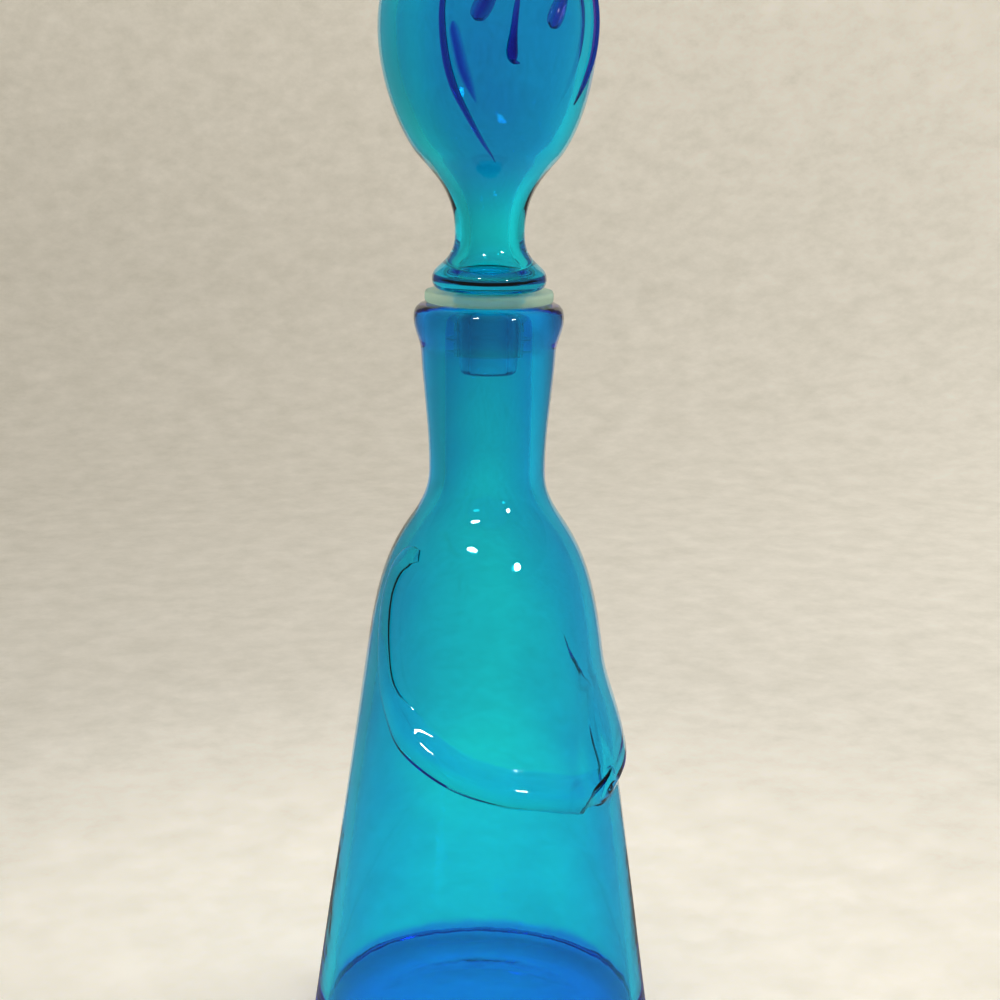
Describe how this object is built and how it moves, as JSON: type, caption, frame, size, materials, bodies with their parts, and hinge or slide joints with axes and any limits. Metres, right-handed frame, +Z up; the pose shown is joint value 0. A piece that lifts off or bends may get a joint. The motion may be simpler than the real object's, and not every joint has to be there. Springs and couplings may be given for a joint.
{
  "type": "face decanter",
  "caption": "Hand-blown glass decanter with a flared cone body, glass arms laid round it, and a hollow egg-shaped glass head with a simple face as its stopper.",
  "frame": {"origin": "centre of the foot, on the surface that the decanter stands on", "axes": "+Z up along the bottle's axis, -Y towards the side that the face and the hands look to, +X to the viewer's right when the face is seen from the front"},
  "size_m": [0.1032, 0.1032, 0.339],
  "materials": {
    "turquoise_glass": "clear, fire polished",
    "azure_glass": "clear, fire polished",
    "cobalt_glass": "clear and very dark, fire polished",
    "milky_seal": "soft moulded plastic, half see-through"
  },
  "bodies": {
    "bottle": {"bottle_body": "turquoise_glass", "arm_left": "turquoise_glass", "arm_right": "turquoise_glass"},
    "seal": {"seal_sleeve": "milky_seal"},
    "stopper": {"stopper_head": "azure_glass", "eye_left": "cobalt_glass", "eye_right": "cobalt_glass", "nose": "cobalt_glass", "hair_left": "cobalt_glass", "hair_right": "cobalt_glass"}
  },
  "joints": [
    {"name": "stopper_lift", "type": "slide", "parent": "bottle", "child": "seal", "axis": [0, 0, 1], "range_m": [0, 0.09]},
    {"name": "stopper_turn", "type": "hinge", "parent": "seal", "child": "stopper", "pos_m": [0, 0, 0.2275], "axis": [0, 0, 1], "continuous": true}
  ]
}
